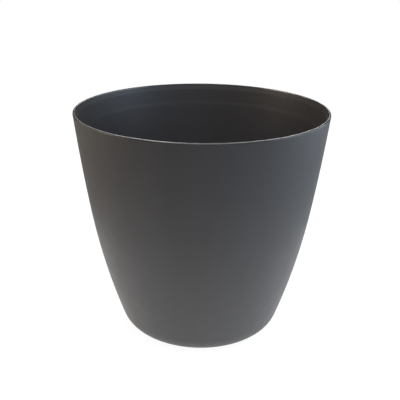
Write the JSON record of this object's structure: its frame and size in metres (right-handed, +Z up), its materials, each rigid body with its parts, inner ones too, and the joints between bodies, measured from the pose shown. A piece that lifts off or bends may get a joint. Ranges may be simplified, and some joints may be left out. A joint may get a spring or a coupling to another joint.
{
  "type": "self watering planter",
  "caption": "Round tapered pot with a water reservoir in its base, a lift-out slotted insert with wick cups, a lidded filler tube, a float gauge and a screwed drain plug.",
  "frame": {"origin": "centre of the foot, on the surface that the planter stands on", "axes": "+Z up, -Y towards the filler tube and the gauge, +X to the right when they are nearest"},
  "size_m": [0.2999, 0.3, 0.2758],
  "materials": {
    "shell_plastic": "matt charcoal, finely grained",
    "insert_plastic": "matt dark grey",
    "pin_plastic": "smooth dark grey",
    "clear_plastic": "clear, smooth",
    "float_foam": "white closed-cell foam",
    "rod_plastic": "natural white",
    "indicator_red": "bright red, smooth",
    "plug_plastic": "matt black",
    "seal_rubber": "black rubber"
  },
  "bodies": {
    "planter": {"planter_shell": "shell_plastic", "overflow_pipe": "shell_plastic"},
    "insert": {"separator_plate": "insert_plastic", "support_leg_1": "insert_plastic", "support_leg_2": "insert_plastic", "support_leg_3": "insert_plastic", "wick_cup_1": "insert_plastic", "wick_cup_2": "insert_plastic", "wick_cup_3": "insert_plastic", "fill_tube": "insert_plastic", "filler_funnel": "insert_plastic", "lid_hinge_pin": "pin_plastic", "gauge_tube": "insert_plastic", "gauge_foot": "insert_plastic", "gauge_head": "clear_plastic", "tube_clip": "insert_plastic"},
    "lid": {"filler_lid": "insert_plastic"},
    "float": {"gauge_float": "float_foam", "float_rod": "rod_plastic", "indicator_tip": "indicator_red"},
    "seal": {"drain_seal": "seal_rubber"},
    "plug": {"drain_plug": "plug_plastic"}
  },
  "joints": [
    {"name": "insert_lift", "type": "slide", "parent": "planter", "child": "insert", "axis": [0, 0, 1], "range_m": [0, 0.3]},
    {"name": "float_rise", "type": "slide", "parent": "insert", "child": "float", "axis": [0, 0, 1], "range_m": [0, 0.035]},
    {"name": "lid_swing", "type": "hinge", "parent": "insert", "child": "lid", "pos_m": [0.018, -0.103, 0.2443], "axis": [1, 0, 0], "range_deg": [0, 110]},
    {"name": "drain_plug_travel", "type": "slide", "parent": "planter", "child": "seal", "axis": [0, 0, -1], "range_m": [0, 0.0121]},
    {"name": "drain_plug_turn", "type": "hinge", "parent": "seal", "child": "plug", "pos_m": [0, 0, 0.01], "axis": [0, 0, -1], "range_deg": [0, 1080]}
  ],
  "couplings": [
    {"joint": "drain_plug_travel", "follows": "drain_plug_turn", "m_per_rad": 0.00063662}
  ]
}
